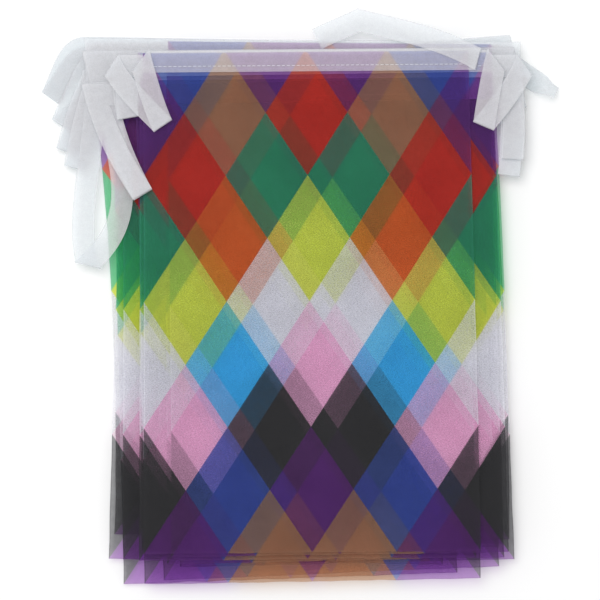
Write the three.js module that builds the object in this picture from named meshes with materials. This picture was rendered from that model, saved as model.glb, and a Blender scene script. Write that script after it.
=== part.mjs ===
// A string of sixteen thin polyester flags on one continuous header tape, folded
// back and forth into a flat stack, with the spare tape between the flags lying in
// loops at both ends of the header.
// Millimetres, +Z up. The stack lies on z = 0 with its header towards +Y and its plan
// centred on the origin.

import * as THREE from 'three';

// Flag cloth. A flag is cut 200 x 300 and lies a few millimetres shorter.
const FLAG_COUNT = 16;
const FLAG_WIDTH = 200;
const HEADER_WIDTH = 193;
const SHEET = 1.0;
const GAP = 0.3;
const PITCH = SHEET + GAP;
const FLAG_COLUMNS = 8;
const FLAG_ROWS = 10;

// The middle of the whole stack, on the axes of the tables below.
const MIDDLE_X = -1.94;
const MIDDLE_Y = 0.76;

// Broad low ripples that all flags share, nothing in the lowest and most in the top one.
const RIPPLE_RISE = 2.0;
const RIPPLE_ACROSS = 180;
const RIPPLE_ALONG = 310;
const RIPPLE_START = 122;
const RIPPLE_FADE = 70;

// Header tape: a 26 mm ribbon folded in half over the top edges of the flags.
const TAPE_WIDTH = 13;
const RING_STEP = 4;
const FOLD_STEPS = 4;
const BEND_RADIUS = 8;
const ROLL_FROM = 0.65;
const ROLL_TO = 0.95;
const DROOP_FROM = 0.35;
const CLIMB_AHEAD = 3;
const SLANT_FADE = 1.5;

// Where the tape is measured along a header, from its left end at -1 to its right one at 1.
const SEWN_AT = [-0.9, -0.45, 0, 0.45, 0.9];

// How each flag lies, from the top one down: the middle of its foot, its turn in
// degrees, how far its header is pushed sideways, how far the right end of its header
// is drawn up, its length as it lies, and where its tape leaves the stack at each end.
const FLAG_KEYS = ['x', 'y', 'turn', 'skew', 'rise', 'drop', 'left', 'right'];
const FLAG_ROWS_BY_KEY = [
  [5.2, -150.6, 0.5, -1.5, 0, 298.5, -96, 103],
  [21.7, -152.0, 0.8, -2.5, 0, 298.5, -113.5, 114],
  [2.5, -154.8, 0.6, 0, 0, 298.5, -104.5, 131],
  [19.2, -155.9, 1.2, 2, 0, 298.5, -108, 123],
  [5.3, -168.3, 1.0, -4, 0, 298.5, -124, 121],
  [16.5, -163.7, 2.4, 3, 0, 298.5, -118, 122],
  [3.3, -149.6, 0.5, -3, 0, 298.5, -124, 120],
  [22.9, -142.9, -0.5, -10, 0, 297, -124, 123],
  [-7.7, -154.8, 0.6, 0, 0, 298.5, -122, 121],
  [26.1, -158.2, 1.4, -3.5, 0, 298.5, -126, 123],
  [-16.6, -157.5, -1.0, 0, 0, 298.5, -124, 121],
  [17.0, -149.0, 0.2, -1, 0, 298.5, -122, 122],
  [-7.8, -167.7, 2.0, 0, 0, 298.5, -124, 119],
  [19.0, -146.0, -0.6, -6.5, 0, 298.5, -124, 121],
  [-13.5, -142.9, -0.9, -24, 6, 292, -131, 119],
  [14.0, -144.0, -1.1, -4.5, 0, 298.5, -131, 115],
];

// The spare tape between two flags, as a hairpin with its tip at (x, y). Each leg is
// described from its header to the tip: whether it turns off the header in a flat arc, at
// a mitred kink or in a fold, the headings in which it leaves and arrives, in degrees from
// +X, and the lengths over which it keeps them. Some climb over the edge of the flags above
// them: climb is how far, from nothing at far before the tip to all of it at near.
const LOOP_KEYS = [
  'flag', 'x', 'y',
  'startOut', 'leaveOut', 'arriveOut', 'leadOut', 'pullOut',
  'startBack', 'leaveBack', 'arriveBack', 'leadBack', 'pullBack',
  'climbOut', 'climbBack', 'near', 'far',
];
const LOOPS_BY_KEY = [
  [15, -151.5, 121.0, 'arc', 205, 226, 6, 8, 'arc', 183, 243, 11, 14, 0, 0, 0, 1],
  [14, 126.5, 127.0, 'kink', 284, 292, 5, 5, 'kink', 286, 298, 5, 5, 0, 0, 0, 1],
  [13, -145.0, 104.5, 'kink', 212, 222, 6, 8, 'kink', 236, 250, 12, 14, 0, 0, 0, 1],
  [12, 125.0, 106.0, 'kink', 270, 280, 10, 10, 'kink', 278, 292, 6, 6, 0, 0, 0, 1],
  [11, -141.5, 88.5, 'kink', 240, 256, 14, 16, 'kink', 250, 246, 16, 18, 0, 0, 0, 1],
  [10, 127.0, 113.0, 'kink', 274, 286, 7, 7, 'kink', 282, 294, 6, 6, 0, 0, 0, 1],
  [9, -136.5, 78.5, 'kink', 250, 262, 16, 18, 'kink', 268, 248, 16, 18, 0, 0, 0, 1],
  [8, 125.5, 96.5, 'kink', 268, 278, 14, 14, 'kink', 282, 268, 12, 12, 0, 0, 0, 1],
  [7, -128.5, 20.5, 'kink', 283, 221, 60, 45, 'kink', 275, 291, 45, 28, 0, 0, 0, 1],
  [6, 122.5, 74.0, 'kink', 277, 262, 20, 20, 'kink', 280, 264, 22, 22, 0, 0, 0, 1],
  [5, -95.9, 62.6, 'kink', 283, 303, 20, 22, 'kink', 279, 299, 20, 22, 9.8, 8.4, 22, 48],
  [4, 124.5, 83.5, 'kink', 277, 265, 18, 18, 'kink', 284, 268, 14, 14, 0, 0, 0, 1],
  [3, -104.5, 108.0, 'kink', 268, 276, 10, 10, 'kink', 276, 284, 9, 9, 0, 0, 0, 1],
  [2, 107.0, 103.0, 'fold', 256, 262, 12, 12, 'fold', 248, 232, 14, 14, 1.6, 1.4, 27, 37],
  [1, -83.7, 103.0, 'fold', 284, 294, 12, 12, 'fold', 296, 314, 14, 14, 1.6, 1.4, 31, 41],
];

// The free ends. Each row is one stretch: how it starts, where it ends and how high, the
// headings in which it leaves and arrives, the lengths over which it keeps them, and how
// far the ribbon stands on its edge towards its end.
const TAIL_KEYS = ['start', 'x', 'y', 'z', 'leave', 'arrive', 'lead', 'pull', 'roll'];
const TAILS_BY_KEY = {
  front: [
    ['fold', 33.0, 165.8, 15, 150, 165, 25, 20, 0],
    ['kink', 8.0, 154.6, 13.5, 206, 206, 8, 8, 0],
  ],
  rear: [
    ['arc', 151.6, 123.2, 0.5, -38, -28, 12, 12, 52],
  ],
};

const rowsToRecords = (keys, rows) =>
  rows.map((row) => Object.fromEntries(keys.map((key, k) => [key, row[k]])));
const flags = rowsToRecords(FLAG_KEYS, FLAG_ROWS_BY_KEY);
const loops = rowsToRecords(LOOP_KEYS, LOOPS_BY_KEY);
const stretchesOf = (name) => rowsToRecords(TAIL_KEYS, TAILS_BY_KEY[name]);

// The tape leaves the odd flags at their left and the even ones at their right.
const exitEnd = (layer) => (layer % 2 === 1 ? 'left' : 'right');

const radians = THREE.MathUtils.degToRad;
const smooth = (x, from, to) => THREE.MathUtils.smoothstep(x, from, to);
const heading = (degrees) => new THREE.Vector2(Math.cos(radians(degrees)), Math.sin(radians(degrees)));
const leftOf = (d) => new THREE.Vector2(-d.y, d.x);

// Layer 1 is the top flag. A flag and its stretch of tape share a layer.
const level = (layer) => (FLAG_COUNT - layer) * PITCH + SHEET / 2;
const liftShare = (layer) => (FLAG_COUNT - layer) / (FLAG_COUNT - 1);

function ripple(x, y) {
  const wave = Math.sin((2 * Math.PI * x) / RIPPLE_ACROSS + (2 * Math.PI * y) / RIPPLE_ALONG);
  const fade = smooth(RIPPLE_START - y, 0, RIPPLE_FADE);
  return RIPPLE_RISE * (0.5 + 0.5 * wave) * fade;
}

// Where a point of a flag lies in plan: u runs -1 to 1 across, s is the distance
// above its foot.
function inPlan(flag, u, s) {
  const v = s / flag.drop;
  const half = THREE.MathUtils.lerp(FLAG_WIDTH, HEADER_WIDTH, v) / 2;
  const x = u * half + flag.skew * v * v;
  const y = s + flag.rise * Math.max(0, u) ** 2 * v ** 4;
  const p = new THREE.Vector2(x, y).rotateAround(new THREE.Vector2(), radians(flag.turn));
  return p.add(new THREE.Vector2(flag.x, flag.y));
}

// How high the sheet of one layer lies at a point, flag and tape alike.
const surface = (layer, x, y) => level(layer) + liftShare(layer) * ripple(x, y);

// A ring is one cross-section of the ribbon: its centre c, the half width a as a
// vector, and the direction of travel d.
function flatRing(p, z, a, d) {
  return {
    c: new THREE.Vector3(p.x, p.y, z),
    a: new THREE.Vector3(a.x, a.y, 0),
    d: new THREE.Vector3(d.x, d.y, 0),
  };
}

// How far the cross-section of a ribbon that runs along d slants, as a tangent, to lie
// on a line in the direction of seam.
const slantTo = (d, seam) => seam.dot(d) / seam.dot(leftOf(d));

// A fold turns a ribbon from d1 to d2 over a crease; a kink turns it flat at a mitre.
const crease = (d1, d2) => leftOf(d1.clone().sub(d2)).normalize();
const mitre = (d1, d2) => leftOf(d1.clone().add(d2)).normalize();

// The half width of a slanted cross-section, with its slant fading out along the ribbon.
function slanted(d, slant, distance) {
  const fadeOver = SLANT_FADE * (TAPE_WIDTH / 2) * Math.abs(slant) + 1;
  return d.clone().multiplyScalar(slant * Math.max(0, 1 - distance / fadeOver));
}

// The way of a leg in plan: a flat arc out of the header, where it has one, and a
// gentle curve to its end.
function legPath(leg) {
  const path = new THREE.CurvePath();
  let start = leg.start;
  if (leg.bendsFrom !== undefined) {
    const turn = Math.sign(heading(leg.bendsFrom).cross(heading(leg.leave)));
    const centre = start.clone().addScaledVector(leftOf(heading(leg.bendsFrom)), turn * BEND_RADIUS);
    const fromCentre = (degrees) => radians(degrees - turn * 90);
    path.add(new THREE.EllipseCurve(
      centre.x, centre.y, BEND_RADIUS, BEND_RADIUS,
      fromCentre(leg.bendsFrom), fromCentre(leg.leave), turn < 0,
    ));
    start = centre.clone().addScaledVector(leftOf(heading(leg.leave)), -turn * BEND_RADIUS);
  }
  path.add(new THREE.CubicBezierCurve(
    start,
    start.clone().addScaledVector(heading(leg.leave), leg.lead),
    leg.end.clone().addScaledVector(heading(leg.arrive), -leg.pull),
    leg.end,
  ));
  return path;
}

// The rings of one leg, from its start to its end. heightAt gives the height at a point
// a share t of the way along.
function legRings(leg) {
  const curve = legPath(leg);
  const length = curve.getLength();
  const count = Math.ceil(length / RING_STEP);
  const rings = [];
  for (let k = 0; k <= count; k += 1) {
    const t = k / count;
    const p = curve.getPointAt(t);
    const d = curve.getTangentAt(t);
    const roll = radians(leg.roll) * smooth(t, ROLL_FROM, ROLL_TO);
    const half = leftOf(d);
    half.add(slanted(d, leg.startSlant, t * length));
    half.add(slanted(d, leg.endSlant, (1 - t) * length));
    half.multiplyScalar((leg.side * TAPE_WIDTH * Math.cos(roll)) / 2);
    const high = leg.heightAt(p.clone().add(half), t);
    const low = leg.heightAt(p.clone().sub(half), t);
    const rise = (TAPE_WIDTH / 2) * Math.sin(roll);
    const ring = flatRing(p, leg.heightAt(p, t) + rise, half, d);
    ring.a.z = (high - low) / 2 + rise;
    rings.push(ring);
  }
  rings.forEach((ring, r) => {
    const before = rings[Math.max(0, r - 1)].c;
    const after = rings[Math.min(count, r + 1)].c;
    ring.d.z = (after.z - before.z) / Math.hypot(after.x - before.x, after.y - before.y);
  });
  return rings;
}

// The rings of a fold that turns the ribbon over about its own width.
function fold(from, to) {
  const middle = from.c.clone().add(to.c).multiplyScalar(0.5);
  const radius = from.c.distanceTo(to.c) / 2;
  const up = from.c.clone().sub(to.c).normalize();
  const along = from.a.clone().normalize();
  const out = from.d.clone().addScaledVector(along, -from.d.dot(along));
  out.addScaledVector(up, -out.dot(up)).normalize();
  const rings = [];
  for (let k = 1; k < FOLD_STEPS; k += 1) {
    const angle = (Math.PI * k) / FOLD_STEPS;
    const c = middle.clone().addScaledVector(up, radius * Math.cos(angle));
    const d = out.clone().multiplyScalar(Math.cos(angle)).addScaledVector(up, -Math.sin(angle));
    c.addScaledVector(out, radius * Math.sin(angle));
    rings.push({ c, a: from.a.clone().lerp(to.a, k / FOLD_STEPS), d });
  }
  return rings;
}

const reversed = (rings) =>
  rings.map((ring) => ({ c: ring.c, a: ring.a, d: ring.d.clone().negate() })).reverse();

const OUTWARD = { left: 180, right: 0 };

// The side of the ribbon that faces up, seen along a leg that leaves a header.
const sideOf = (end, start) => (end === 'left' ? 1 : -1) * (start === 'fold' ? -1 : 1);

// The slant of the seam at which a ribbon turns from d1 to d2, seen along d.
function seamSlant(start, d, d1, d2) {
  return start === 'arc' ? 0 : slantTo(d, start === 'fold' ? crease(d1, d2) : mitre(d1, d2));
}

// The stretch of tape along one flag's header, from left to right. turns says how the tape
// turns off it at each end.
function headerPass(flag, layer, turns) {
  const s = flag.drop - TAPE_WIDTH / 2;
  const sewn = SEWN_AT.map((u) => inPlan(flag, u, s));
  const beyond = (p, q, x) => p.clone().lerp(q, (x - p.x) / (q.x - p.x));
  const left = beyond(sewn[0], sewn[1], flag.left);
  const right = beyond(sewn.at(-1), sewn.at(-2), flag.right);
  const points = [left, ...sewn, right];
  const last = points.length - 1;
  const turnAt = { 0: turns.left, [last]: turns.right };
  return points.map((p, k) => {
    const d = points[Math.min(last, k + 1)].clone().sub(points[Math.max(0, k - 1)]).normalize();
    const half = leftOf(d);
    if (turnAt[k]) {
      const outward = k === 0 ? d.clone().negate() : d;
      half.addScaledVector(d, seamSlant(turnAt[k].start, d, outward, heading(turnAt[k].leave)));
    }
    return flatRing(p, level(layer), half.multiplyScalar(-TAPE_WIDTH / 2), d);
  });
}

// How the tape turns off one layer's header at one end.
function turnOf(layer, end) {
  const goesOut = exitEnd(layer) === end;
  const loop = loops.find((row) => row.flag === (goesOut ? layer : layer - 1));
  if (loop) {
    return goesOut
      ? { start: loop.startOut, leave: loop.leaveOut }
      : { start: loop.startBack, leave: loop.leaveBack };
  }
  return stretchesOf(layer === 1 ? 'front' : 'rear')[0];
}

// The spare tape after a flag: the leg that goes out from its header, the fold at the
// tip and the leg that comes back to the next header, in the order in which it runs.
function hairpin(loop, pass, nextPass) {
  const end = exitEnd(loop.flag);
  const tip = new THREE.Vector2(loop.x, loop.y);
  const over = crease(heading(loop.arriveOut), heading(loop.arriveBack).negate());
  const ramp = heading((loop.arriveOut + loop.arriveBack) / 2);
  const endRing = (rings) => (end === 'left' ? reversed([rings[0]])[0] : rings.at(-1));
  const makeLeg = (rings, layer, way, far) => {
    const from = endRing(rings);
    const start = loop[`start${way}`];
    const leaving = heading(loop[`leave${way}`]);
    const arriving = heading(loop[`arrive${way}`]);
    const before = (p) => tip.clone().sub(p).dot(ramp);
    const climb = (p) => loop[`climb${way}`] * (1 - smooth(before(p), loop.near, far));
    const folded = start === 'fold' ? PITCH : 0;
    return legRings({
      start: new THREE.Vector2(from.c.x, from.c.y),
      end: tip,
      leave: loop[`leave${way}`],
      arrive: loop[`arrive${way}`],
      lead: loop[`lead${way}`],
      pull: loop[`pull${way}`],
      side: sideOf(end, start),
      roll: 0,
      startSlant: seamSlant(start, leaving, new THREE.Vector2(from.d.x, from.d.y), leaving),
      endSlant: slantTo(arriving, over),
      bendsFrom: start === 'arc' ? OUTWARD[end] : undefined,
      heightAt: (p) => surface(layer, p.x, p.y) + folded + climb(p),
    });
  };
  const joined = (rings, start, leg) =>
    (start === 'fold' ? [...fold(endRing(rings), leg[0]), ...leg] : leg.slice(1));
  const out = makeLeg(pass, loop.flag, 'Out', loop.far + CLIMB_AHEAD);
  const back = makeLeg(nextPass, loop.flag + 1, 'Back', loop.far);
  return [
    ...joined(pass, loop.startOut, out),
    ...fold(out.at(-1), reversed(back)[0]),
    ...reversed(joined(nextPass, loop.startBack, back)),
  ];
}

// A free end, from the right end of a header to its cut end.
function freeEnd(stretches, from) {
  let side = sideOf('right');
  let rings = [from];
  stretches.forEach((stretch, k) => {
    const start = rings.at(-1);
    const leaving = heading(stretch.leave);
    const arriving = heading(stretch.arrive);
    const arrived = heading(k === 0 ? OUTWARD.right : stretches[k - 1].arrive);
    const next = stretches[k + 1];
    const folds = stretch.start === 'fold';
    side = folds ? -side : side;
    const firstZ = folds ? start.c.z + PITCH : start.c.z;
    const leg = legRings({
      ...stretch,
      start: new THREE.Vector2(start.c.x, start.c.y),
      end: new THREE.Vector2(stretch.x, stretch.y),
      side,
      startSlant: seamSlant(stretch.start, leaving, arrived, leaving),
      endSlant: next ? seamSlant(next.start, arriving, arriving, heading(next.leave)) : 0,
      bendsFrom: stretch.start === 'arc' ? OUTWARD.right : undefined,
      heightAt: (p, t) => THREE.MathUtils.lerp(firstZ, stretch.z, smooth(t, DROOP_FROM, 1)),
    });
    rings = folds ? [...rings, ...fold(start, leg[0]), ...leg] : [...rings, ...leg.slice(1)];
  });
  return rings.slice(1);
}

// The whole tape as rings, from its front free end to its rear one.
function tapeRings() {
  const passes = flags.map((flag, k) =>
    headerPass(flag, k + 1, { left: turnOf(k + 1, 'left'), right: turnOf(k + 1, 'right') }));
  const rings = reversed(freeEnd(stretchesOf('front'), passes[0].at(-1)));
  passes.forEach((pass, k) => {
    const layer = k + 1;
    rings.push(...(exitEnd(layer) === 'left' ? reversed(pass) : pass));
    if (layer < FLAG_COUNT) {
      rings.push(...hairpin(loops.find((row) => row.flag === layer), pass, passes[k + 1]));
    }
  });
  return [...rings, ...freeEnd(stretchesOf('rear'), passes.at(-1).at(-1))];
}

// A closed solid from rings of the same ribbon.
function ribbonGeometry(rings) {
  const position = [];
  const index = [];
  rings.forEach((ring) => {
    const up = ring.d.clone().cross(ring.a).normalize().multiplyScalar(SHEET / 2);
    [[1, 1], [-1, 1], [-1, -1], [1, -1]].forEach(([across, above]) => {
      position.push(...ring.c.clone().addScaledVector(ring.a, across).addScaledVector(up, above));
    });
  });
  const quad = (p, q, r, s) => index.push(p, q, r, p, r, s);
  for (let k = 0; k < rings.length - 1; k += 1) {
    for (let corner = 0; corner < 4; corner += 1) {
      const next = (corner + 1) % 4;
      quad(4 * k + corner, 4 * k + next, 4 * k + 4 + next, 4 * k + 4 + corner);
    }
  }
  const last = 4 * (rings.length - 1);
  quad(3, 2, 1, 0);
  quad(last, last + 1, last + 2, last + 3);
  return bufferGeometry(position, index);
}

// One flag: a slab that follows the ripples, from its foot to the tape's lower edge.
function flagGeometry(flag, layer) {
  const reach = flag.drop - TAPE_WIDTH - GAP;
  const position = [];
  const index = [];
  const columns = FLAG_COLUMNS + 1;
  const sheet = columns * (FLAG_ROWS + 1);
  [SHEET / 2, -SHEET / 2].forEach((above) => {
    for (let row = 0; row <= FLAG_ROWS; row += 1) {
      for (let column = 0; column < columns; column += 1) {
        const p = inPlan(flag, (2 * column) / FLAG_COLUMNS - 1, (row * reach) / FLAG_ROWS);
        position.push(p.x, p.y, surface(layer, p.x, p.y) + above);
      }
    }
  });
  const quad = (p, q, r, s) => index.push(p, q, r, p, r, s);
  for (let row = 0; row < FLAG_ROWS; row += 1) {
    for (let column = 0; column < FLAG_COLUMNS; column += 1) {
      const k = row * columns + column;
      quad(k, k + 1, k + 1 + columns, k + columns);
      quad(k + sheet + columns, k + sheet + columns + 1, k + sheet + 1, k + sheet);
    }
  }
  const rim = [];
  for (let column = 0; column < FLAG_COLUMNS; column += 1) rim.push(column);
  for (let row = 0; row < FLAG_ROWS; row += 1) rim.push(row * columns + FLAG_COLUMNS);
  for (let column = FLAG_COLUMNS; column > 0; column -= 1) rim.push(FLAG_ROWS * columns + column);
  for (let row = FLAG_ROWS; row > 0; row -= 1) rim.push(row * columns);
  rim.forEach((k, n) => {
    const next = rim[(n + 1) % rim.length];
    quad(k + sheet, next + sheet, next, k);
  });
  return bufferGeometry(position, index);
}

function bufferGeometry(position, index) {
  const geometry = new THREE.BufferGeometry();
  geometry.setAttribute('position', new THREE.Float32BufferAttribute(position, 3));
  geometry.setIndex(index);
  geometry.translate(-MIDDLE_X, -MIDDLE_Y, 0);
  geometry.computeVertexNormals();
  return geometry;
}

const clothColours = [0x4a2466, 0x2d3c7d, 0x23694f, 0x9baa46, 0xa54623, 0x961e1c];
const group = new THREE.Group();
flags.forEach((flag, k) => {
  const cloth = new THREE.MeshStandardMaterial({
    color: clothColours[k % clothColours.length],
    roughness: 0.75,
    metalness: 0,
  });
  const mesh = new THREE.Mesh(flagGeometry(flag, k + 1), cloth);
  mesh.name = `flag_${String(k + 1).padStart(2, '0')}`;
  group.add(mesh);
});

const tapeWhite = new THREE.MeshStandardMaterial({ color: 0xe6e8ee, roughness: 0.6, metalness: 0 });
const tape = new THREE.Mesh(ribbonGeometry(tapeRings()), tapeWhite);
tape.name = 'header_tape';
group.add(tape);

export default group;
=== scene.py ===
"""A folded string of sheer printed flags on a white header tape, dressed for rendering."""

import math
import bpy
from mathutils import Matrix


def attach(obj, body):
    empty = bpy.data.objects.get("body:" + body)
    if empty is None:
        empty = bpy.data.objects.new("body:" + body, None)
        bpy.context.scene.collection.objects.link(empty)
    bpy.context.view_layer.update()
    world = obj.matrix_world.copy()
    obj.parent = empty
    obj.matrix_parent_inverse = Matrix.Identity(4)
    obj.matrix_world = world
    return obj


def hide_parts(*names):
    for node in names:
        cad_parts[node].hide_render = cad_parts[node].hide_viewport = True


bl_info = {
    "name": "Folded flag bunting",
    "version": (1, 0, 0),
    "blender": (4, 5, 0),
    "location": "View3D > Sidebar > Bunting",
    "description": "Builds a folded string of sheer flags, its header tape and its stitching",
    "category": "Object",
}

import bpy
from bpy.props import FloatProperty, FloatVectorProperty, IntProperty, PointerProperty
from bpy.types import Operator, Panel, PropertyGroup
from mathutils import Vector, noise
from mathutils.geometry import interpolate_bezier

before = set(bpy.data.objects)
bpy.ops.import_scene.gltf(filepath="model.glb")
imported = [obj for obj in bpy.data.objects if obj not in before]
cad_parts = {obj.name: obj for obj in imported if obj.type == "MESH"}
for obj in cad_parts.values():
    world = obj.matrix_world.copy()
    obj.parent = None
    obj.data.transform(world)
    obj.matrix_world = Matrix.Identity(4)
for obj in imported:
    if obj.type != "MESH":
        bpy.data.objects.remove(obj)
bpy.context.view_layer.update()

MM = 0.001

# The stack's own sizes in millimetres, as in the part's source.
FLAG_COUNT = 16
FLAG_WIDTH = 200
HEADER_WIDTH = 193
SHEET = 1.0
PITCH = 1.3
MIDDLE_X = -1.94
MIDDLE_Y = 0.76
RIPPLE_RISE = 2.0
RIPPLE_ACROSS = 180
RIPPLE_ALONG = 310
RIPPLE_START = 122
RIPPLE_FADE = 70
TAPE_WIDTH = 13
BEND_RADIUS = 8
ROLL_FROM = 0.65
ROLL_TO = 0.95
DROOP_FROM = 0.35
CLIMB_AHEAD = 3
SLANT_FADE = 1.5
OUTWARD = {"left": 180, "right": 0}

# How finely the tape's rings are laid, in millimetres and in steps.
RING_STEP = 1.5
FOLD_STEPS = 8
BEND_STEPS = 16
CURVE_STEPS = 60
PASS_STEPS = 64

# The tape follows a header's own line up to this share of its half width at each end.
SEWN_TO = 0.9

# Small forms of the cloth, in millimetres: the room between the tape's fold and a flag's top
# edge, a flag's hot-cut rim, the sway of its edges, and how the ribbon cockles and cups across
# its width, each with the length of tape over which it changes.
FOLD_ROOM = 1.6
RIM_WIDTH = 0.9
EDGE_SWAY = 0.5
SWAY_ALONG = 22
TAPE_COCKLE = 0.26
COCKLE_ALONG = 9
COCKLE_SHIFT = 17
TAPE_CUP = 0.28
CUP_ALONG = 31

# The unevenness of a flag: slack waves and crumples over all of it, and puckers that die
# away from the tape. Each has its height and the lengths over which it changes. Every noise
# moves on from layer to layer by a step of its own, so that no two flags are alike.
SLACK, SLACK_ACROSS, SLACK_ALONG = 0.34, 46, 64
CRUMPLE, CRUMPLE_ACROSS, CRUMPLE_ALONG = 0.12, 15, 19
PUCKER, PUCKER_ACROSS, PUCKER_FADE = 0.26, 5.5, 16

# Where the waves and the puckers begin and where they have their full height, in millimetres
# below a flag's top edge. The tape's lower edge is 11.4 mm below it.
WAVES_FROM, WAVES_TO = 11, 35
PUCKERS_FROM, PUCKERS_TO = 9, 18

# The folded ribbon's cross-section: shares of the half width across each layer, from the
# open edges to the fold, and the shares of the half width and the half gap round the fold.
LAYER_SHARES = (1.0, 0.985, 0.8, 0.46, 0.4, 0.0, -0.5, -0.9)
TURN_SHARES = ((-0.975, 0.8), (-1.0, 0.0), (-0.975, -0.8))

# A stitch as shares of its half length and of its girth, the most that it slants, and how
# far its middle lies above the tape's upper layer, in millimetres.
STITCH_SIDES = 6
STITCH_SLANT = 0.05
STITCH_LIFT = 0.04
STITCH_SHAPE = ((-1.0, 0.35), (-0.8, 0.85), (0.0, 1.0), (0.8, 0.85), (1.0, 0.35))

# The print: how many inks it moves on for each step up the flag and away from its middle.
INK_STEP_UPWARD = 3.0
INK_STEP_OUTWARD = 1.0

# Threads of the two weaves: across and along one flag, and across the ribbon and along a
# metre of it; then how strongly a weave shows and how deep it is, in metres. The sewing
# thread has its own twist, by scale, strength and depth.
FLAG_THREADS = (400, 600)
RIBBON_THREADS = (60, 2200)
FLAG_WEAVE, RIBBON_WEAVE = 0.35, 0.3
WEAVE_DEPTH = 0.0002
TWIST_SCALE, TWIST_SHOWN, TWIST_DEPTH = 900, 0.4, 0.00005

# How much denser cloth is at a flag's hot-cut rim and at the ribbon's woven edge.
RIM_COVER = 0.16
EDGE_COVER = 0.35

# A wave texture runs through one band in a twentieth of its full turn.
WAVE_PER_THREAD = math.pi / 10

# The most light that goes down and up again through one sheet, so that piles stay light,
# and the most that a thread throws back.
MOST_PASSED = 0.48
WHITEST = 0.93

# The stage, in metres: the floor just below the lowest flag, the lamp up at the left, and
# the picture's middle. The floor's white is its share of the light.
FLOOR_WHITE = 0.95
FLOOR_DROP = 0.0002
FLOOR_SIZE = 8
LAMP_PLACE = (-0.3, 0.4, 1.75)
LAMP_SIZE = 1.2
SENSOR_MM = 36.0
PICTURE_CENTRE = (-0.00014, -0.00165)

# How each flag lies, from the top one down: the middle of its foot, its turn in degrees,
# how far its header is pushed sideways, how far the header's right end is drawn up, its
# length as it lies, and where its tape leaves the stack at each end.
FLAG_KEYS = ("x", "y", "turn", "skew", "rise", "drop", "left", "right")
FLAG_ROWS = (
    (5.2, -150.6, 0.5, -1.5, 0, 298.5, -96, 103),
    (21.7, -152.0, 0.8, -2.5, 0, 298.5, -113.5, 114),
    (2.5, -154.8, 0.6, 0, 0, 298.5, -104.5, 131),
    (19.2, -155.9, 1.2, 2, 0, 298.5, -108, 123),
    (5.3, -168.3, 1.0, -4, 0, 298.5, -124, 121),
    (16.5, -163.7, 2.4, 3, 0, 298.5, -118, 122),
    (3.3, -149.6, 0.5, -3, 0, 298.5, -124, 120),
    (22.9, -142.9, -0.5, -10, 0, 297, -124, 123),
    (-7.7, -154.8, 0.6, 0, 0, 298.5, -122, 121),
    (26.1, -158.2, 1.4, -3.5, 0, 298.5, -126, 123),
    (-16.6, -157.5, -1.0, 0, 0, 298.5, -124, 121),
    (17.0, -149.0, 0.2, -1, 0, 298.5, -122, 122),
    (-7.8, -167.7, 2.0, 0, 0, 298.5, -124, 119),
    (19.0, -146.0, -0.6, -6.5, 0, 298.5, -124, 121),
    (-13.5, -142.9, -0.9, -24, 6, 292, -131, 119),
    (14.0, -144.0, -1.1, -4.5, 0, 298.5, -131, 115),
)

# The spare tape between two flags, as a hairpin with its tip at (x, y): for each leg how it
# starts at its header, the headings in which it leaves and arrives and the lengths over
# which it keeps them; then how far the legs climb towards the tip, and where before the
# tip that climb ends and starts.
LOOP_KEYS = (
    "flag", "x", "y",
    "start_out", "leave_out", "arrive_out", "lead_out", "pull_out",
    "start_back", "leave_back", "arrive_back", "lead_back", "pull_back",
    "climb_out", "climb_back", "near", "far",
)
LOOP_ROWS = (
    (15, -151.5, 121.0, "arc", 205, 226, 6, 8, "arc", 183, 243, 11, 14, 0, 0, 0, 1),
    (14, 126.5, 127.0, "kink", 284, 292, 5, 5, "kink", 286, 298, 5, 5, 0, 0, 0, 1),
    (13, -145.0, 104.5, "kink", 212, 222, 6, 8, "kink", 236, 250, 12, 14, 0, 0, 0, 1),
    (12, 125.0, 106.0, "kink", 270, 280, 10, 10, "kink", 278, 292, 6, 6, 0, 0, 0, 1),
    (11, -141.5, 88.5, "kink", 240, 256, 14, 16, "kink", 250, 246, 16, 18, 0, 0, 0, 1),
    (10, 127.0, 113.0, "kink", 274, 286, 7, 7, "kink", 282, 294, 6, 6, 0, 0, 0, 1),
    (9, -136.5, 78.5, "kink", 250, 262, 16, 18, "kink", 268, 248, 16, 18, 0, 0, 0, 1),
    (8, 125.5, 96.5, "kink", 268, 278, 14, 14, "kink", 282, 268, 12, 12, 0, 0, 0, 1),
    (7, -128.5, 20.5, "kink", 283, 221, 60, 45, "kink", 275, 291, 45, 28, 0, 0, 0, 1),
    (6, 122.5, 74.0, "kink", 277, 262, 20, 20, "kink", 280, 264, 22, 22, 0, 0, 0, 1),
    (5, -95.9, 62.6, "kink", 283, 303, 20, 22, "kink", 279, 299, 20, 22, 9.8, 8.4, 22, 48),
    (4, 124.5, 83.5, "kink", 277, 265, 18, 18, "kink", 284, 268, 14, 14, 0, 0, 0, 1),
    (3, -104.5, 108.0, "kink", 268, 276, 10, 10, "kink", 276, 284, 9, 9, 0, 0, 0, 1),
    (2, 107.0, 103.0, "fold", 256, 262, 12, 12, "fold", 248, 232, 14, 14, 1.6, 1.4, 27, 37),
    (1, -83.7, 103.0, "fold", 284, 294, 12, 12, "fold", 296, 314, 14, 14, 1.6, 1.4, 31, 41),
)

# The two free ends, one row for each stretch.
TAIL_KEYS = ("start", "x", "y", "z", "leave", "arrive", "lead", "pull", "roll")
FRONT_TAIL = (
    ("fold", 33.0, 165.8, 15, 150, 165, 25, 20, 0),
    ("kink", 8.0, 154.6, 13.5, 206, 206, 8, 8, 0),
)
REAR_TAIL = (("arc", 151.6, 123.2, 0.5, -38, -28, 12, 12, 52),)

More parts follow.
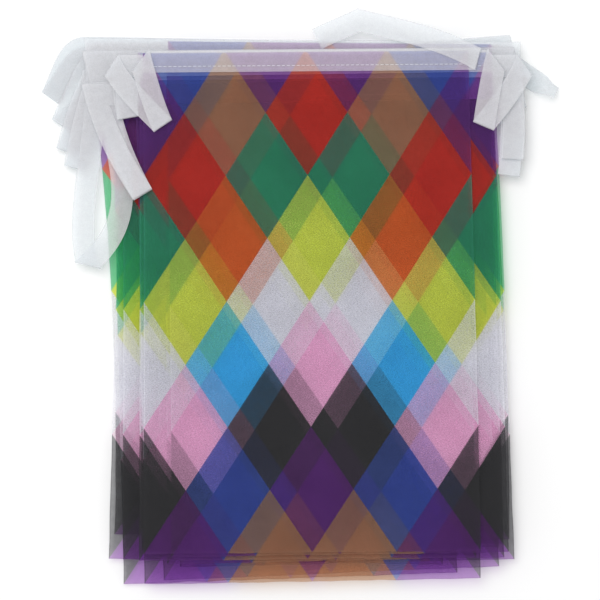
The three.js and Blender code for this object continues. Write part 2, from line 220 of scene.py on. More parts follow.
# The inks of the print, as one layer looks on white and as it looks over many layers.
INK_KEYS = ("name", "alone", "stacked")
INK_ROWS = (
    ("purple", (168, 125, 200), (70, 34, 92)),
    ("yellow", (238, 228, 92), (165, 176, 66)),
    ("blue", (118, 138, 214), (45, 60, 128)),
    ("orange", (244, 150, 88), (172, 76, 36)),
    ("black", (112, 112, 114), (36, 36, 38)),
    ("green", (108, 190, 140), (36, 108, 80)),
    ("pink", (242, 204, 222), (196, 142, 176)),
    ("red", (236, 108, 90), (156, 38, 32)),
    ("light_blue", (130, 202, 242), (52, 150, 208)),
    ("brown", (196, 158, 130), (126, 86, 66)),
    ("white", (238, 239, 243), (196, 196, 206)),
)


def records(keys, rows):
    return [dict(zip(keys, row)) for row in rows]


FLAGS = records(FLAG_KEYS, FLAG_ROWS)
LOOPS = {row["flag"]: row for row in records(LOOP_KEYS, LOOP_ROWS)}
INKS = records(INK_KEYS, INK_ROWS)


# Plan and height of the folded stack, in millimetres


def smooth(x, low, high):
    t = min(1.0, max(0.0, (x - low) / (high - low)))
    return t * t * (3 - 2 * t)


def heading(degrees):
    return Vector((math.cos(math.radians(degrees)), math.sin(math.radians(degrees))))


def left_of(d):
    return Vector((-d.y, d.x))


def level(layer):
    return (FLAG_COUNT - layer) * PITCH + SHEET / 2


def ripple(x, y):
    wave = math.sin(2 * math.pi * x / RIPPLE_ACROSS + 2 * math.pi * y / RIPPLE_ALONG)
    return RIPPLE_RISE * (0.5 + 0.5 * wave) * smooth(RIPPLE_START - y, 0, RIPPLE_FADE)


def surface(layer, x, y):
    share = (FLAG_COUNT - layer) / (FLAG_COUNT - 1)
    return level(layer) + share * ripple(x, y)


def in_plan(flag, u, s):
    """Where a point of a flag lies: u runs -1 to 1 across, s is its distance above the foot."""
    v = s / flag["drop"]
    half = (FLAG_WIDTH + (HEADER_WIDTH - FLAG_WIDTH) * v) / 2
    x = u * half + flag["skew"] * v * v
    y = s + flag["rise"] * max(0.0, u) ** 2 * v**4
    turn = math.radians(flag["turn"])
    return Vector((
        x * math.cos(turn) - y * math.sin(turn) + flag["x"],
        x * math.sin(turn) + y * math.cos(turn) + flag["y"],
    ))


def placed(x, y, z):
    """A point of the stack in the row frame, in metres."""
    return ((x - MIDDLE_X) * MM, (y - MIDDLE_Y) * MM, z * MM)


# The tape's run as rings: centre c, half width a, and direction of travel d


def exit_end(layer):
    return "left" if layer % 2 else "right"


def side_of(end, start="kink"):
    """The side of the ribbon that faces up, seen along a leg that leaves a header."""
    return (1 if end == "left" else -1) * (-1 if start == "fold" else 1)


def slant_to(d, seam):
    return seam.dot(d) / seam.dot(left_of(d))


def crease(d1, d2):
    return left_of(d1 - d2).normalized()


def mitre(d1, d2):
    return left_of(d1 + d2).normalized()


def seam_slant(start, d, d1, d2):
    """The slant, seen along d, of the seam at which the tape turns from d1 to d2."""
    if start == "arc":
        return 0.0
    return slant_to(d, crease(d1, d2) if start == "fold" else mitre(d1, d2))


def ring(p, z, a, d, rise=0.0, climb=0.0):
    return {
        "c": Vector((p.x, p.y, z)), "a": Vector((a.x, a.y, rise)), "d": Vector((d.x, d.y, climb)),
    }


def reverse(rings):
    return [{"c": r["c"], "a": r["a"], "d": -r["d"]} for r in reversed(rings)]


def leg_line(leg):
    """The way of a leg in plan, as closely spaced points."""
    start, line = leg["start"], []
    if leg["bends_from"] is not None:
        before, after = heading(leg["bends_from"]), heading(leg["leave"])
        turn = 1 if before.cross(after) > 0 else -1
        centre = start + left_of(before) * turn * BEND_RADIUS
        swing = (leg["leave"] - leg["bends_from"]) % (360 * turn)
        for k in range(BEND_STEPS):
            spoke = heading(leg["bends_from"] + swing * k / BEND_STEPS - turn * 90)
            line.append(centre + spoke * BEND_RADIUS)
        start = centre - left_of(after) * turn * BEND_RADIUS
    knot_1 = start + heading(leg["leave"]) * leg["lead"]
    knot_2 = leg["end"] - heading(leg["arrive"]) * leg["pull"]
    return line + interpolate_bezier(start, knot_1, knot_2, leg["end"], CURVE_STEPS)


def walk(line, step):
    """Points at even steps along a line, with the share of the way and the direction at each."""
    far = [0.0]
    for p, q in zip(line, line[1:]):
        far.append(far[-1] + (q - p).length)
    count = max(2, math.ceil(far[-1] / step))
    found, k = [], 0
    for n in range(count + 1):
        at = far[-1] * n / count
        while k < len(line) - 2 and far[k + 1] < at:
            k += 1
        share = (at - far[k]) / (far[k + 1] - far[k])
        found.append(line[k].lerp(line[k + 1], share))
    ways = []
    for n, p in enumerate(found):
        way = found[min(count, n + 1)] - found[max(0, n - 1)]
        ways.append((p, way.normalized(), n / count))
    return ways, far[-1]


def slanted(d, slant, distance):
    fade_over = SLANT_FADE * (TAPE_WIDTH / 2) * abs(slant) + 1
    return d * slant * max(0.0, 1 - distance / fade_over)


def leg_rings(leg):
    ways, length = walk(leg_line(leg), RING_STEP)
    first = leg["leave"] if leg["bends_from"] is None else leg["bends_from"]
    ways[0] = (ways[0][0], heading(first), 0.0)
    ways[-1] = (ways[-1][0], heading(leg["arrive"]), 1.0)
    rings = []
    for p, d, t in ways:
        roll = math.radians(leg["roll"]) * smooth(t, ROLL_FROM, ROLL_TO)
        half = left_of(d) + slanted(d, leg["start_slant"], t * length)
        half += slanted(d, leg["end_slant"], (1 - t) * length)
        half *= leg["side"] * TAPE_WIDTH * math.cos(roll) / 2
        high, low = leg["height"](p + half, t), leg["height"](p - half, t)
        rise = TAPE_WIDTH / 2 * math.sin(roll)
        rings.append(ring(p, leg["height"](p, t) + rise, half, d, (high - low) / 2 + rise))
    last = len(rings) - 1
    for k, r in enumerate(rings):
        run = rings[min(last, k + 1)]["c"] - rings[max(0, k - 1)]["c"]
        r["d"].z = run.z / run.xy.length
    return rings


def fold(start, end):
    """The rings of a fold that turns the tape over about its own width."""
    middle, radius = (start["c"] + end["c"]) / 2, (start["c"] - end["c"]).length / 2
    up, along = (start["c"] - end["c"]).normalized(), start["a"].normalized()
    out = start["d"] - along * start["d"].dot(along)
    out = (out - up * out.dot(up)).normalized()
    rings = []
    for k in range(1, FOLD_STEPS):
        angle = math.pi * k / FOLD_STEPS
        c = middle + up * radius * math.cos(angle) + out * radius * math.sin(angle)
        d = out * math.cos(angle) - up * math.sin(angle)
        rings.append({"c": c, "a": start["a"].lerp(end["a"], k / FOLD_STEPS), "d": d})
    return rings


def header_pass(flag, layer, turns):
    """The tape along one flag's header, from left to right, with the seams where it turns."""
    s = flag["drop"] - TAPE_WIDTH / 2
    sewn = [in_plan(flag, SEWN_TO * (k / PASS_STEPS * 2 - 1), s) for k in range(PASS_STEPS + 1)]
    left = sewn[0].lerp(sewn[1], (flag["left"] - sewn[0].x) / (sewn[1].x - sewn[0].x))
    right = sewn[-1].lerp(sewn[-2], (flag["right"] - sewn[-1].x) / (sewn[-2].x - sewn[-1].x))
    points = [left, *sewn, right]
    last = len(points) - 1
    turn_at = {0: turns["left"], last: turns["right"]}
    rings = []
    for k, p in enumerate(points):
        d = (points[min(last, k + 1)] - points[max(0, k - 1)]).normalized()
        half = left_of(d)
        if k in turn_at:
            start, leave = turn_at[k]
            half += d * seam_slant(start, d, d if k else -d, heading(leave))
        rings.append(ring(p, level(layer), half * -TAPE_WIDTH / 2, d))
    return rings


def turn_of(layer, end):
    """How the tape turns off one layer's header at one end, and in which heading."""
    goes_out = exit_end(layer) == end
    loop = LOOPS.get(layer if goes_out else layer - 1)
    if loop:
        way = "out" if goes_out else "back"
        return loop["start_" + way], loop["leave_" + way]
    tail = FRONT_TAIL if layer == 1 else REAR_TAIL
    first = records(TAIL_KEYS, tail)[0]
    return first["start"], first["leave"]


def hairpin(loop, here, after):
    """The spare tape after a flag: out from its header, over the tip and back to the next."""
    end = exit_end(loop["flag"])
    tip = Vector((loop["x"], loop["y"]))
    over = crease(heading(loop["arrive_out"]), -heading(loop["arrive_back"]))
    ramp = heading((loop["arrive_out"] + loop["arrive_back"]) / 2)

    def leg(rings, layer, way, far):
        first = reverse([rings[0]])[0] if end == "left" else rings[-1]
        start, leave, arrive = (loop[key + way] for key in ("start_", "leave_", "arrive_"))
        folded = PITCH if start == "fold" else 0

        def height(p, _t):
            share = 1 - smooth((tip - p).dot(ramp), loop["near"], far)
            return surface(layer, p.x, p.y) + folded + loop["climb_" + way] * share

        made = leg_rings({
            "start": first["c"].xy, "end": tip, "leave": leave, "arrive": arrive,
            "lead": loop["lead_" + way], "pull": loop["pull_" + way],
            "side": side_of(end, start), "roll": 0,
            "start_slant": seam_slant(start, heading(leave), first["d"].xy, heading(leave)),
            "end_slant": slant_to(heading(arrive), over),
            "bends_from": OUTWARD[end] if start == "arc" else None, "height": height,
        })
        return made, [*fold(first, made[0]), *made] if start == "fold" else made[1:]

    out, out_joined = leg(here, loop["flag"], "out", loop["far"] + CLIMB_AHEAD)
    home, home_joined = leg(after, loop["flag"] + 1, "back", loop["far"])
    return [*out_joined, *fold(out[-1], reverse(home)[0]), *reverse(home_joined)]


def free_end(stretches, first):
    """A free end, from the right end of a header to its cut end."""
    side, rings, arrived = side_of("right"), [first], heading(OUTWARD["right"])
    for k, row in enumerate(stretches):
        start, leaving, arriving = rings[-1], heading(row["leave"]), heading(row["arrive"])
        folds = row["start"] == "fold"
        side = -side if folds else side
        low = start["c"].z + (PITCH if folds else 0)
        end_slant = 0
        if k + 1 < len(stretches):
            after = stretches[k + 1]
            end_slant = seam_slant(after["start"], arriving, arriving, heading(after["leave"]))
        leg = leg_rings({
            **row,
            "start": start["c"].xy, "end": Vector((row["x"], row["y"])), "side": side,
            "start_slant": seam_slant(row["start"], leaving, arrived, leaving),
            "end_slant": end_slant,
            "bends_from": OUTWARD["right"] if row["start"] == "arc" else None,
            "height": lambda p, t, a=low, b=row["z"]: a + (b - a) * smooth(t, DROOP_FROM, 1),
        })
        rings += [*fold(start, leg[0]), *leg] if folds else leg[1:]
        arrived = arriving
    return rings[1:]


def tape_rings():
    """The whole tape, from its front free end to its rear one."""
    passes = [
        header_pass(flag, k + 1, {end: turn_of(k + 1, end) for end in OUTWARD})
        for k, flag in enumerate(FLAGS)
    ]
    rings = reverse(free_end(records(TAIL_KEYS, FRONT_TAIL), passes[0][-1]))
    for k, row in enumerate(passes):
        layer = k + 1
        rings += reverse(row) if exit_end(layer) == "left" else row
        if layer < FLAG_COUNT:
            rings += hairpin(LOOPS[layer], row, passes[layer])
    return rings + free_end(records(TAIL_KEYS, REAR_TAIL), passes[-1][-1])


# Meshes


def mesh_object(name, points, faces, material, uvs=None, rims=None):
    mesh = bpy.data.meshes.new(name)
    mesh.from_pydata([placed(*p) for p in points], [], faces)
    if uvs:
        layer = mesh.uv_layers.new(name="cloth")
        for loop in mesh.loops:
            layer.data[loop.index].uv = uvs[loop.vertex_index]
    if rims:
        attribute = mesh.attributes.new("rim", "FLOAT", "POINT")
        attribute.data.foreach_set("value", rims)
    mesh.shade_smooth()
    mesh.materials.append(material)
    piece = bpy.data.objects.new(name, mesh)
    bpy.context.scene.collection.objects.link(piece)
    return piece


def relief(layer, p, above_foot, top):
    """The small unevenness of one flag on top of the stack's broad ripple."""
    slack = noise.noise(Vector((p.x / SLACK_ACROSS, p.y / SLACK_ALONG, layer * 7.3)))
    crumple = noise.noise(Vector((p.x / CRUMPLE_ACROSS, p.y / CRUMPLE_ALONG, layer * 3.1)))
    pucker = noise.noise(Vector((p.x / PUCKER_ACROSS, layer * 5.7, 0.0)))
    near_tape = math.exp((above_foot - top) / PUCKER_FADE)
    waved = smooth(top - above_foot, WAVES_FROM, WAVES_TO)
    puckered = smooth(top - above_foot, PUCKERS_FROM, PUCKERS_TO)
    return waved * (SLACK * slack + CRUMPLE * crumple) + PUCKER * pucker * near_tape * puckered


def flag_mesh(name, flag, layer, across, along, material):
    """One flag on its solid's middle surface, its top edge tucked into the folded tape."""
    top = flag["drop"] - FOLD_ROOM
    rim = 2 * RIM_WIDTH / FLAG_WIDTH
    us = [-1.0, -1 + rim, *[2 * k / across - 1 for k in range(1, across)], 1 - rim, 1.0]
    ss = [0.0, RIM_WIDTH, *[top * k / along for k in range(1, along)], top]
    points, uvs, rims, faces = [], [], [], []
    for s in ss:
        for u in us:
            p = in_plan(flag, u, s)
            sway = EDGE_SWAY * noise.noise(Vector((s / SWAY_ALONG, u * 3, layer * 1.9)))
            drop = EDGE_SWAY * noise.noise(Vector((u * 9, layer * 2.3, 4.0))) * (1 - s / top) ** 6
            p.x += sway * abs(u) ** 8 * (1 - s / top)
            z = surface(layer, p.x, p.y) + relief(layer, p, s, top)
            points.append((p.x, p.y + drop, z))
            shown = u if exit_end(layer) == "left" else -u
            uvs.append((0.5 + shown / 2, s / flag["drop"]))
            rims.append(1.0 if abs(u) == 1 or s == 0 else 0.0)
    row = len(us)
    for j in range(len(ss) - 1):
        for i in range(row - 1):
            k = j * row + i
            faces.append((k, k + 1, k + row + 1, k + row))
    return mesh_object(name, points, faces, material, uvs, rims)


def tape_section(half_gap):
    """The folded ribbon's cross-section: shares of the half width, and heights in millimetres."""
    upper = [(share, half_gap) for share in LAYER_SHARES]
    turn = [(share, half_gap * height) for share, height in TURN_SHARES]
    return upper + turn + [(share, -half_gap) for share in reversed(LAYER_SHARES)]


def tape_mesh(name, half_gap, material):
    """The folded ribbon along its whole run, as one open sheet of two layers."""
    rings, section = tape_rings(), tape_section(half_gap)
    points, uvs, rims, faces, run = [], [], [], [], 0.0
    for k, r in enumerate(rings):
        run += (r["c"] - rings[k - 1]["c"]).length if k else 0.0
        up = r["d"].cross(r["a"]).normalized()
        cockle = TAPE_COCKLE * noise.noise(Vector((run / COCKLE_ALONG, 0.0, 2.0)))
        cup = TAPE_CUP * noise.noise(Vector((run / CUP_ALONG, 5.0, 1.0)))
        for n, (share, height) in enumerate(section):
            shift = noise.noise(Vector((run / COCKLE_SHIFT, share * 2, 9.0)))
            lift = cockle * share * (0.5 + 0.5 * shift)
            lift += cup * (share * share - 0.5)
            points.append(tuple(r["c"] + r["a"] * share + up * (height + lift)))
            uvs.append((n / (len(section) - 1), run * MM))
            rims.append(1.0 if n in (0, len(section) - 1) else 0.0)
    row = len(section)
    for k in range(len(rings) - 1):
        for n in range(row - 1):
            q = k * row + n
            faces.append((q, q + row, q + row + 1, q + 1))
    return mesh_object(name, points, faces, material, uvs, rims), run * MM


def stitch_mesh(name, length, gap, thickness, inset, lift, material):
    """The row of stitches that closes the tape over each flag's top edge."""
    points, faces = [], []
    for k, flag in enumerate(FLAGS):
        layer = k + 1
        s = flag["drop"] - TAPE_WIDTH + inset
        count = int(HEADER_WIDTH / (length + gap))
        for n in range(count):
            u = (2 * n + 1) / count - 1
            p, q = in_plan(flag, u, s), in_plan(flag, u + 0.01, s)
            along = (q - p).normalized()
            tilt = STITCH_SLANT * noise.noise(Vector((n * 0.7, layer * 1.3, 0.0)))
            along = Vector((along.x, along.y + tilt)).normalized()
            across = left_of(along)
            base = len(points)
            for share, girth in STITCH_SHAPE:
                c = p + along * length / 2 * share
                sink = (1 - girth) * thickness
                for m in range(STITCH_SIDES):
                    angle = 2 * math.pi * m / STITCH_SIDES
                    w = across * math.cos(angle) * thickness / 2 * girth
                    z = level(layer) + lift - sink + math.sin(angle) * thickness / 2 * girth
                    points.append((c.x + w.x, c.y + w.y, z))
            for j in range(len(STITCH_SHAPE) - 1):
                for m in range(STITCH_SIDES):
                    a = base + j * STITCH_SIDES + m
                    b = base + j * STITCH_SIDES + (m + 1) % STITCH_SIDES
                    faces.append((a, b, b + STITCH_SIDES, a + STITCH_SIDES))
            faces.append(tuple(base + m for m in reversed(range(STITCH_SIDES))))
            end = base + (len(STITCH_SHAPE) - 1) * STITCH_SIDES
            faces.append(tuple(end + m for m in range(STITCH_SIDES)))
    return mesh_object(name, points, faces, material)


# Materials


def linear(rgb):
    """An sRGB colour of 0 to 255 as linear light."""
    return [((c / 255 + 0.055) / 1.055) ** 2.4 if c > 10 else c / 255 / 12.92 for c in rgb]


def sheer(ink):
    """Cover, body colour and tint of a sheer sheet, from its look alone on white and stacked."""
    alone, stacked = linear(ink["alone"]), linear(ink["stacked"])
    shares = [(a - s) / (FLOOR_WHITE - s) for a, s in zip(alone, stacked)]
    passed = [min(MOST_PASSED, max(0.01, share)) for share in shares]
    once = [math.sqrt(p) for p in passed]
    cover = 1 - max(once)
    wanted = [s * (1 - p) / cover for s, p in zip(stacked, passed)]
    body = [w * min(1.0, WHITEST / max(wanted)) for w in wanted]
    tint = [t / max(once) for t in once]
    return cover, body, tint


def new_material(name):
    material = bpy.data.materials.new(name)
    material.use_nodes = True
    material.node_tree.nodes.clear()
    return material, material.node_tree.nodes, material.node_tree.links


def maths(nodes, links, operation, first, second=None, third=None):
    node = nodes.new("ShaderNodeMath")
    node.operation = operation
    for socket, value in zip(node.inputs, (first, second, third)):
        if isinstance(value, (int, float)):
            socket.default_value = value
        elif value is not None:
            links.new(value, socket)
    return node.outputs[0]


def ink_ramp(nodes, links, index, colours):
    """A stepped colour ramp with one flat step for each ink."""
    ramp = nodes.new("ShaderNodeValToRGB")
    ramp.color_ramp.interpolation = "CONSTANT"
    stops = ramp.color_ramp.elements
    while len(stops) < len(colours):
        stops.new(1.0)
    for k, colour in enumerate(colours):
        stops[k].position = k / len(colours)
        stops[k].color = colour
    links.new(index, ramp.inputs["Fac"])
    return ramp


def weave_bump(nodes, links, thread_counts, strength):
    """Plain weave as two crossed sets of threads over the cloth's own width and length."""
    uv = nodes.new("ShaderNodeUVMap")
    uv.uv_map = "cloth"
    waves = []
    for axis, threads in zip("XY", thread_counts):
        wave = nodes.new("ShaderNodeTexWave")
        wave.bands_direction = axis
        wave.inputs["Scale"].default_value = threads * WAVE_PER_THREAD
        wave.inputs["Distortion"].default_value = 0.4
        links.new(uv.outputs["UV"], wave.inputs["Vector"])
        waves.append(wave.outputs["Fac"])
    bump = nodes.new("ShaderNodeBump")
    bump.inputs["Strength"].default_value = strength
    bump.inputs["Distance"].default_value = WEAVE_DEPTH
    links.new(maths(nodes, links, "MULTIPLY", *waves), bump.inputs["Height"])
    return bump.outputs["Normal"]


def mottle(nodes, links, scale, low, high, detail=3.0):
    """A soft uneven factor over the object, from low to high."""
    where = nodes.new("ShaderNodeTexCoord")
    return uneven(nodes, links, where.outputs["Object"], scale, low, high, detail)


def slubs(nodes, links, across, along, low, high):
    """The thick and thin places of the weft, longer across the cloth than along it."""
    uv = nodes.new("ShaderNodeUVMap")
    uv.uv_map = "cloth"
    stretch = nodes.new("ShaderNodeMapping")
    stretch.inputs["Scale"].default_value = (across, along, 1.0)
    links.new(uv.outputs["UV"], stretch.inputs["Vector"])
    return uneven(nodes, links, stretch.outputs["Vector"], 1.0, low, high, 1.0)


def uneven(nodes, links, where, scale, low, high, detail):
    """A noise over the given coordinates, spread from low to high."""
    cloud = nodes.new("ShaderNodeTexNoise")
    cloud.inputs["Scale"].default_value = scale
    cloud.inputs["Detail"].default_value = detail
    links.new(where, cloud.inputs["Vector"])
    spread = nodes.new("ShaderNodeMapRange")
    spread.inputs["From Min"].default_value = 0.3
    spread.inputs["From Max"].default_value = 0.7
    spread.inputs["To Min"].default_value = low
    spread.inputs["To Max"].default_value = high
    links.new(cloud.outputs["Fac"], spread.inputs["Value"])
    return spread.outputs["Result"]


def scaled(nodes, links, colour, factor):
    node = nodes.new("ShaderNodeVectorMath")
    node.operation = "SCALE"
    links.new(colour, node.inputs[0])
    links.new(factor, node.inputs["Scale"])
    return node.outputs["Vector"]


def see_through(material, nodes, links, cover, body, tint, normal, roughness, sheen, gloss):
    """Sheer cloth: threads that cover part of the surface, and tinted light between them."""
    threads = nodes.new("ShaderNodeBsdfPrincipled")
    threads.inputs["Roughness"].default_value = roughness
    threads.inputs["Sheen Weight"].default_value = sheen
    threads.inputs["Sheen Roughness"].default_value = 0.4
    threads.inputs["Specular IOR Level"].default_value = gloss
    links.new(normal, threads.inputs["Normal"])
    links.new(body, threads.inputs["Base Color"])
    between = nodes.new("ShaderNodeBsdfTransparent")
    if isinstance(tint, tuple):
        between.inputs["Color"].default_value = tint
    else:
        links.new(tint, between.inputs["Color"])
    mixed = nodes.new("ShaderNodeMixShader")
    links.new(cover, mixed.inputs["Fac"])
    links.new(between.outputs[0], mixed.inputs[1])
    links.new(threads.outputs[0], mixed.inputs[2])
    output = nodes.new("ShaderNodeOutputMaterial")
    links.new(mixed.outputs[0], output.inputs["Surface"])
    return material


def printed_polyester(across, down):
    """Thin polyester with a printed harlequin of diamonds, denser along its hot-cut edge."""
    material, nodes, links = new_material("printed_polyester")
    uv = nodes.new("ShaderNodeUVMap")
    uv.uv_map = "cloth"
    split = nodes.new("ShaderNodeSeparateXYZ")
    links.new(uv.outputs["UV"], split.inputs[0])
    a = maths(nodes, links, "MULTIPLY_ADD", split.outputs["X"], across, -across / 2)
    b = maths(nodes, links, "MULTIPLY", split.outputs["Y"], down)
    rising = maths(nodes, links, "FLOOR", maths(nodes, links, "ADD", b, a))
    falling = maths(nodes, links, "FLOOR", maths(nodes, links, "SUBTRACT", b, a))
    upward = maths(nodes, links, "ADD", rising, falling)
    outward = maths(nodes, links, "ABSOLUTE", maths(nodes, links, "SUBTRACT", rising, falling))
    index = maths(nodes, links, "MULTIPLY_ADD", upward, INK_STEP_UPWARD, 0.5)
    index = maths(nodes, links, "MULTIPLY_ADD", outward, INK_STEP_OUTWARD, index)
    index = maths(nodes, links, "FLOORED_MODULO", index, len(INKS))
    index = maths(nodes, links, "DIVIDE", index, len(INKS))
    recipes = [sheer(ink) for ink in INKS]
    bodies = ink_ramp(nodes, links, index, [(*body, 1.0) for _, body, _ in recipes])
    tints = ink_ramp(nodes, links, index, [(*tint, cover) for cover, _, tint in recipes])
    normal = weave_bump(nodes, links, FLAG_THREADS, FLAG_WEAVE)
    broad = mottle(nodes, links, scale=38, low=0.8, high=0.94)
    speckle = slubs(nodes, links, across=190, along=640, low=0.74, high=1.26)
    shade = maths(nodes, links, "MULTIPLY", broad, speckle)
    body = scaled(nodes, links, bodies.outputs["Color"], shade)
    rim = nodes.new("ShaderNodeAttribute")
    rim.attribute_name = "rim"
    thick = maths(nodes, links, "MULTIPLY_ADD", rim.outputs["Fac"], RIM_COVER, tints.outputs["Alpha"])
    patchy = mottle(nodes, links, scale=240, low=0.94, high=1.06, detail=2.0)
    cover = maths(nodes, links, "MULTIPLY", thick, patchy)
    return see_through(
        material, nodes, links, cover, body, tints.outputs["Color"], normal,
        roughness=0.6, sheen=0.04, gloss=0.2,
    )


def sheer_ribbon(alone, stacked):
    """White sheer ribbon: a fine weave, with a firmer woven edge."""
    material, nodes, links = new_material("sheer_ribbon")
    normal = weave_bump(nodes, links, RIBBON_THREADS, RIBBON_WEAVE)
    cover, body, tint = sheer({"alone": alone, "stacked": stacked})
    white = nodes.new("ShaderNodeRGB")
    white.outputs[0].default_value = (*body, 1.0)
    grain = mottle(nodes, links, scale=1500, low=0.93, high=1.05, detail=1.0)
    body = scaled(nodes, links, white.outputs[0], grain)
    rim = nodes.new("ShaderNodeAttribute")
    rim.attribute_name = "rim"
    firm = maths(nodes, links, "MULTIPLY_ADD", rim.outputs["Fac"], EDGE_COVER, cover)
    patchy = mottle(nodes, links, scale=260, low=0.95, high=1.05, detail=2.0)
    cover = maths(nodes, links, "MULTIPLY", firm, patchy)
    return see_through(
        material, nodes, links, cover, body, (*tint, 1.0), normal,
        roughness=0.5, sheen=0.2, gloss=0.4,
    )


def sewing_thread(colour):
    """Spun polyester thread with its twist."""
    material, nodes, links = new_material("sewing_thread")
    shader = nodes.new("ShaderNodeBsdfPrincipled")
    shader.inputs["Roughness"].default_value = 0.6
    shader.inputs["Sheen Weight"].default_value = 0.2
    body = nodes.new("ShaderNodeRGB")
    body.outputs[0].default_value = (*colour, 1.0)
    fuzz = mottle(nodes, links, scale=2600, low=0.85, high=1.05)
    shade = scaled(nodes, links, body.outputs[0], fuzz)
    links.new(shade, shader.inputs["Base Color"])
    twist = nodes.new("ShaderNodeTexWave")
    twist.bands_direction = "DIAGONAL"
    twist.inputs["Scale"].default_value = TWIST_SCALE
    where = nodes.new("ShaderNodeTexCoord")
    links.new(where.outputs["Object"], twist.inputs["Vector"])
    bump = nodes.new("ShaderNodeBump")
    bump.inputs["Strength"].default_value = TWIST_SHOWN
    bump.inputs["Distance"].default_value = TWIST_DEPTH
    links.new(twist.outputs["Fac"], bump.inputs["Height"])
    links.new(bump.outputs["Normal"], shader.inputs["Normal"])
    output = nodes.new("ShaderNodeOutputMaterial")
    links.new(shader.outputs[0], output.inputs["Surface"])
    return material


def pale_floor(colour):
    material, nodes, links = new_material("pale_floor")
    shader = nodes.new("ShaderNodeBsdfPrincipled")
    shader.inputs["Base Color"].default_value = (*colour, 1.0)
    shader.inputs["Roughness"].default_value = 0.9
    shader.inputs["Specular IOR Level"].default_value = 0.1
    output = nodes.new("ShaderNodeOutputMaterial")
    links.new(shader.outputs[0], output.inputs["Surface"])
    return material


# Settings


class FlagSettings(PropertyGroup):
    """Mesh and print of the flags."""

    columns: IntProperty(name="Columns", description="Faces across one flag", default=56, min=8)
    rows: IntProperty(name="Rows", description="Faces down one flag", default=84, min=8)
    diamonds_across: FloatProperty(
        name="Diamonds across", description="Diamonds of the print over one flag's width", default=4.0
    )
    diamonds_down: FloatProperty(
        name="Diamonds down", description="Diamonds of the print over one flag's length", default=4.0
    )


class TapeSettings(PropertyGroup):
    """Make and colour of the header tape."""

    half_gap: FloatProperty(
        name="Half gap", description="Half the distance between the folded tape's two layers",
        default=0.24 * MM, unit="LENGTH",
    )
    alone: FloatVectorProperty(
        name="Alone", description="Colour of one layer of ribbon on white, in steps of 0 to 255",
        size=3, default=(232, 234, 240),
    )
    stacked: FloatVectorProperty(
        name="Stacked", description="Colour of many layers of ribbon, in steps of 0 to 255",
        size=3, default=(218, 219, 223),
    )


class StitchSettings(PropertyGroup):
    """The row of stitches along the tape."""

    length: FloatProperty(
        name="Length", description="Length of one stitch", default=2.3 * MM, unit="LENGTH"
    )
    gap: FloatProperty(
        name="Gap", description="Distance between two stitches", default=0.6 * MM, unit="LENGTH"
    )
    thickness: FloatProperty(
        name="Thickness", description="Thickness of the thread", default=0.28 * MM, unit="LENGTH"
    )
    inset: FloatProperty(
        name="Inset", description="Distance of the row from the tape's lower edge",
        default=3.5 * MM, unit="LENGTH",
    )
    colour: FloatVectorProperty(
        name="Colour", description="Colour of the thread", subtype="COLOR",
        size=3, default=(0.82, 0.83, 0.86),
    )


class StageSettings(PropertyGroup):
    """Floor, light and camera."""

    floor_colour: FloatVectorProperty(
        name="Floor colour", description="Colour of the floor", subtype="COLOR",
        size=3, default=(FLOOR_WHITE, FLOOR_WHITE, FLOOR_WHITE),
    )
    sky: FloatProperty(
        name="Sky", description="Strength of the even light from all round", default=0.6
    )
    lamp_power: FloatProperty(
        name="Lamp power", description="Power of the large soft lamp", default=20.0, unit="POWER"
    )
    camera_height: FloatProperty(
        name="Camera height", description="Height of the camera above the floor",
        default=1.6, unit="LENGTH",
    )
    picture_width: FloatProperty(
        name="Picture width", description="Width of the picture at the top of the stack",
        default=0.3561, unit="LENGTH",
    )


# Operators


class BUNTING_OT_flags(Operator):
    """Lay the sixteen sheer flags, from the lowest to the top one"""

    bl_idname = "bunting.flags"
    bl_label = "Flags"

    def execute(self, context):
        made = context.scene.bunting_flags
        cloth = printed_polyester(made.diamonds_across, made.diamonds_down)
        for layer in range(FLAG_COUNT, 0, -1):
            flag = FLAGS[layer - 1]
            piece = flag_mesh(f"cloth_{layer:02d}", flag, layer, made.columns, made.rows, cloth)
            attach(piece, "root")
            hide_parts(f"flag_{layer:02d}")
        return {"FINISHED"}


class BUNTING_OT_tape(Operator):
    """Fold the header tape over the flags' top edges and lay its spare lengths in loops"""

    bl_idname = "bunting.tape"
    bl_label = "Header tape"

    def execute(self, context):
        made = context.scene.bunting_tape
        ribbon = sheer_ribbon(made.alone, made.stacked)
        piece, length = tape_mesh("ribbon", made.half_gap / MM, ribbon)
        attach(piece, "root")
        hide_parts("header_tape")
        return {"FINISHED"}


class BUNTING_OT_stitches(Operator):
    """Sew the tape closed along every flag's header"""

    bl_idname = "bunting.stitches"
    bl_label = "Stitches"

    def execute(self, context):
        made, tape = context.scene.bunting_stitches, context.scene.bunting_tape
        piece = stitch_mesh(
            "stitches", made.length / MM, made.gap / MM, made.thickness / MM, made.inset / MM,
            tape.half_gap / MM + STITCH_LIFT, sewing_thread(made.colour),
        )
        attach(piece, "root")
        return {"FINISHED"}


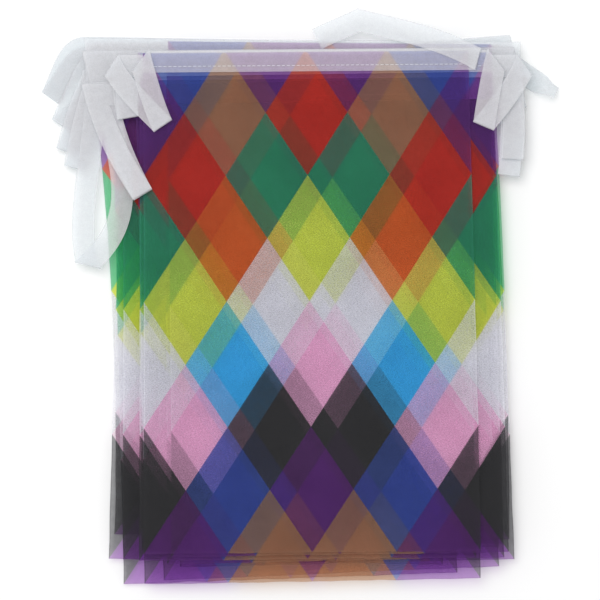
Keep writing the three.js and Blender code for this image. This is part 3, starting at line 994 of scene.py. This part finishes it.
class BUNTING_OT_stage(Operator):
    """Set the floor, the soft light and the camera straight above"""

    bl_idname = "bunting.stage"
    bl_label = "Stage"

    def execute(self, context):
        made, scene = context.scene.bunting_stage, context.scene
        bpy.ops.mesh.primitive_plane_add(size=FLOOR_SIZE)
        floor = context.object
        floor.name = "floor"
        floor.location.z = -FLOOR_DROP
        floor.data.materials.append(pale_floor(made.floor_colour))

        sky = bpy.data.worlds.new("studio")
        sky.use_nodes = True
        sky.node_tree.nodes["Background"].inputs["Color"].default_value = (1.0, 1.0, 1.0, 1.0)
        sky.node_tree.nodes["Background"].inputs["Strength"].default_value = made.sky
        scene.world = sky

        lamp_data = bpy.data.lights.new("soft_lamp", "AREA")
        lamp_data.shape = "DISK"
        lamp_data.size = LAMP_SIZE
        lamp_data.energy = made.lamp_power
        lamp = bpy.data.objects.new("soft_lamp", lamp_data)
        lamp.location = LAMP_PLACE
        lamp.rotation_euler = (-lamp.location).to_track_quat("-Z", "Y").to_euler()
        scene.collection.objects.link(lamp)

        camera_data = bpy.data.cameras.new("camera")
        camera_data.sensor_width = SENSOR_MM
        distance = made.camera_height - level(1) * MM
        camera_data.lens = camera_data.sensor_width * distance / made.picture_width
        camera = bpy.data.objects.new("camera", camera_data)
        camera.location = (*PICTURE_CENTRE, made.camera_height)
        scene.collection.objects.link(camera)
        scene.camera = camera
        scene.view_settings.view_transform = "Standard"
        return {"FINISHED"}


class BUNTING_PT_panel(Panel):
    """Buttons for the bunting's pieces"""

    bl_idname = "BUNTING_PT_panel"
    bl_label = "Bunting"
    bl_space_type = "VIEW_3D"
    bl_region_type = "UI"
    bl_category = "Bunting"

    def draw(self, _context):
        for operator in OPERATORS:
            self.layout.operator(operator.bl_idname)


OPERATORS = (BUNTING_OT_flags, BUNTING_OT_tape, BUNTING_OT_stitches, BUNTING_OT_stage)
SETTINGS = {
    "bunting_flags": FlagSettings,
    "bunting_tape": TapeSettings,
    "bunting_stitches": StitchSettings,
    "bunting_stage": StageSettings,
}


def register():
    for group in SETTINGS.values():
        bpy.utils.register_class(group)
    for cls in (*OPERATORS, BUNTING_PT_panel):
        bpy.utils.register_class(cls)
    for name, group in SETTINGS.items():
        setattr(bpy.types.Scene, name, PointerProperty(type=group))


def unregister():
    for name in SETTINGS:
        delattr(bpy.types.Scene, name)
    for cls in (BUNTING_PT_panel, *reversed(OPERATORS)):
        bpy.utils.unregister_class(cls)
    for group in reversed(SETTINGS.values()):
        bpy.utils.unregister_class(group)


def main():
    register()
    bpy.ops.bunting.flags()
    bpy.ops.bunting.tape()
    bpy.ops.bunting.stitches()
    bpy.ops.bunting.stage()


if __name__ == "__main__":
    main()
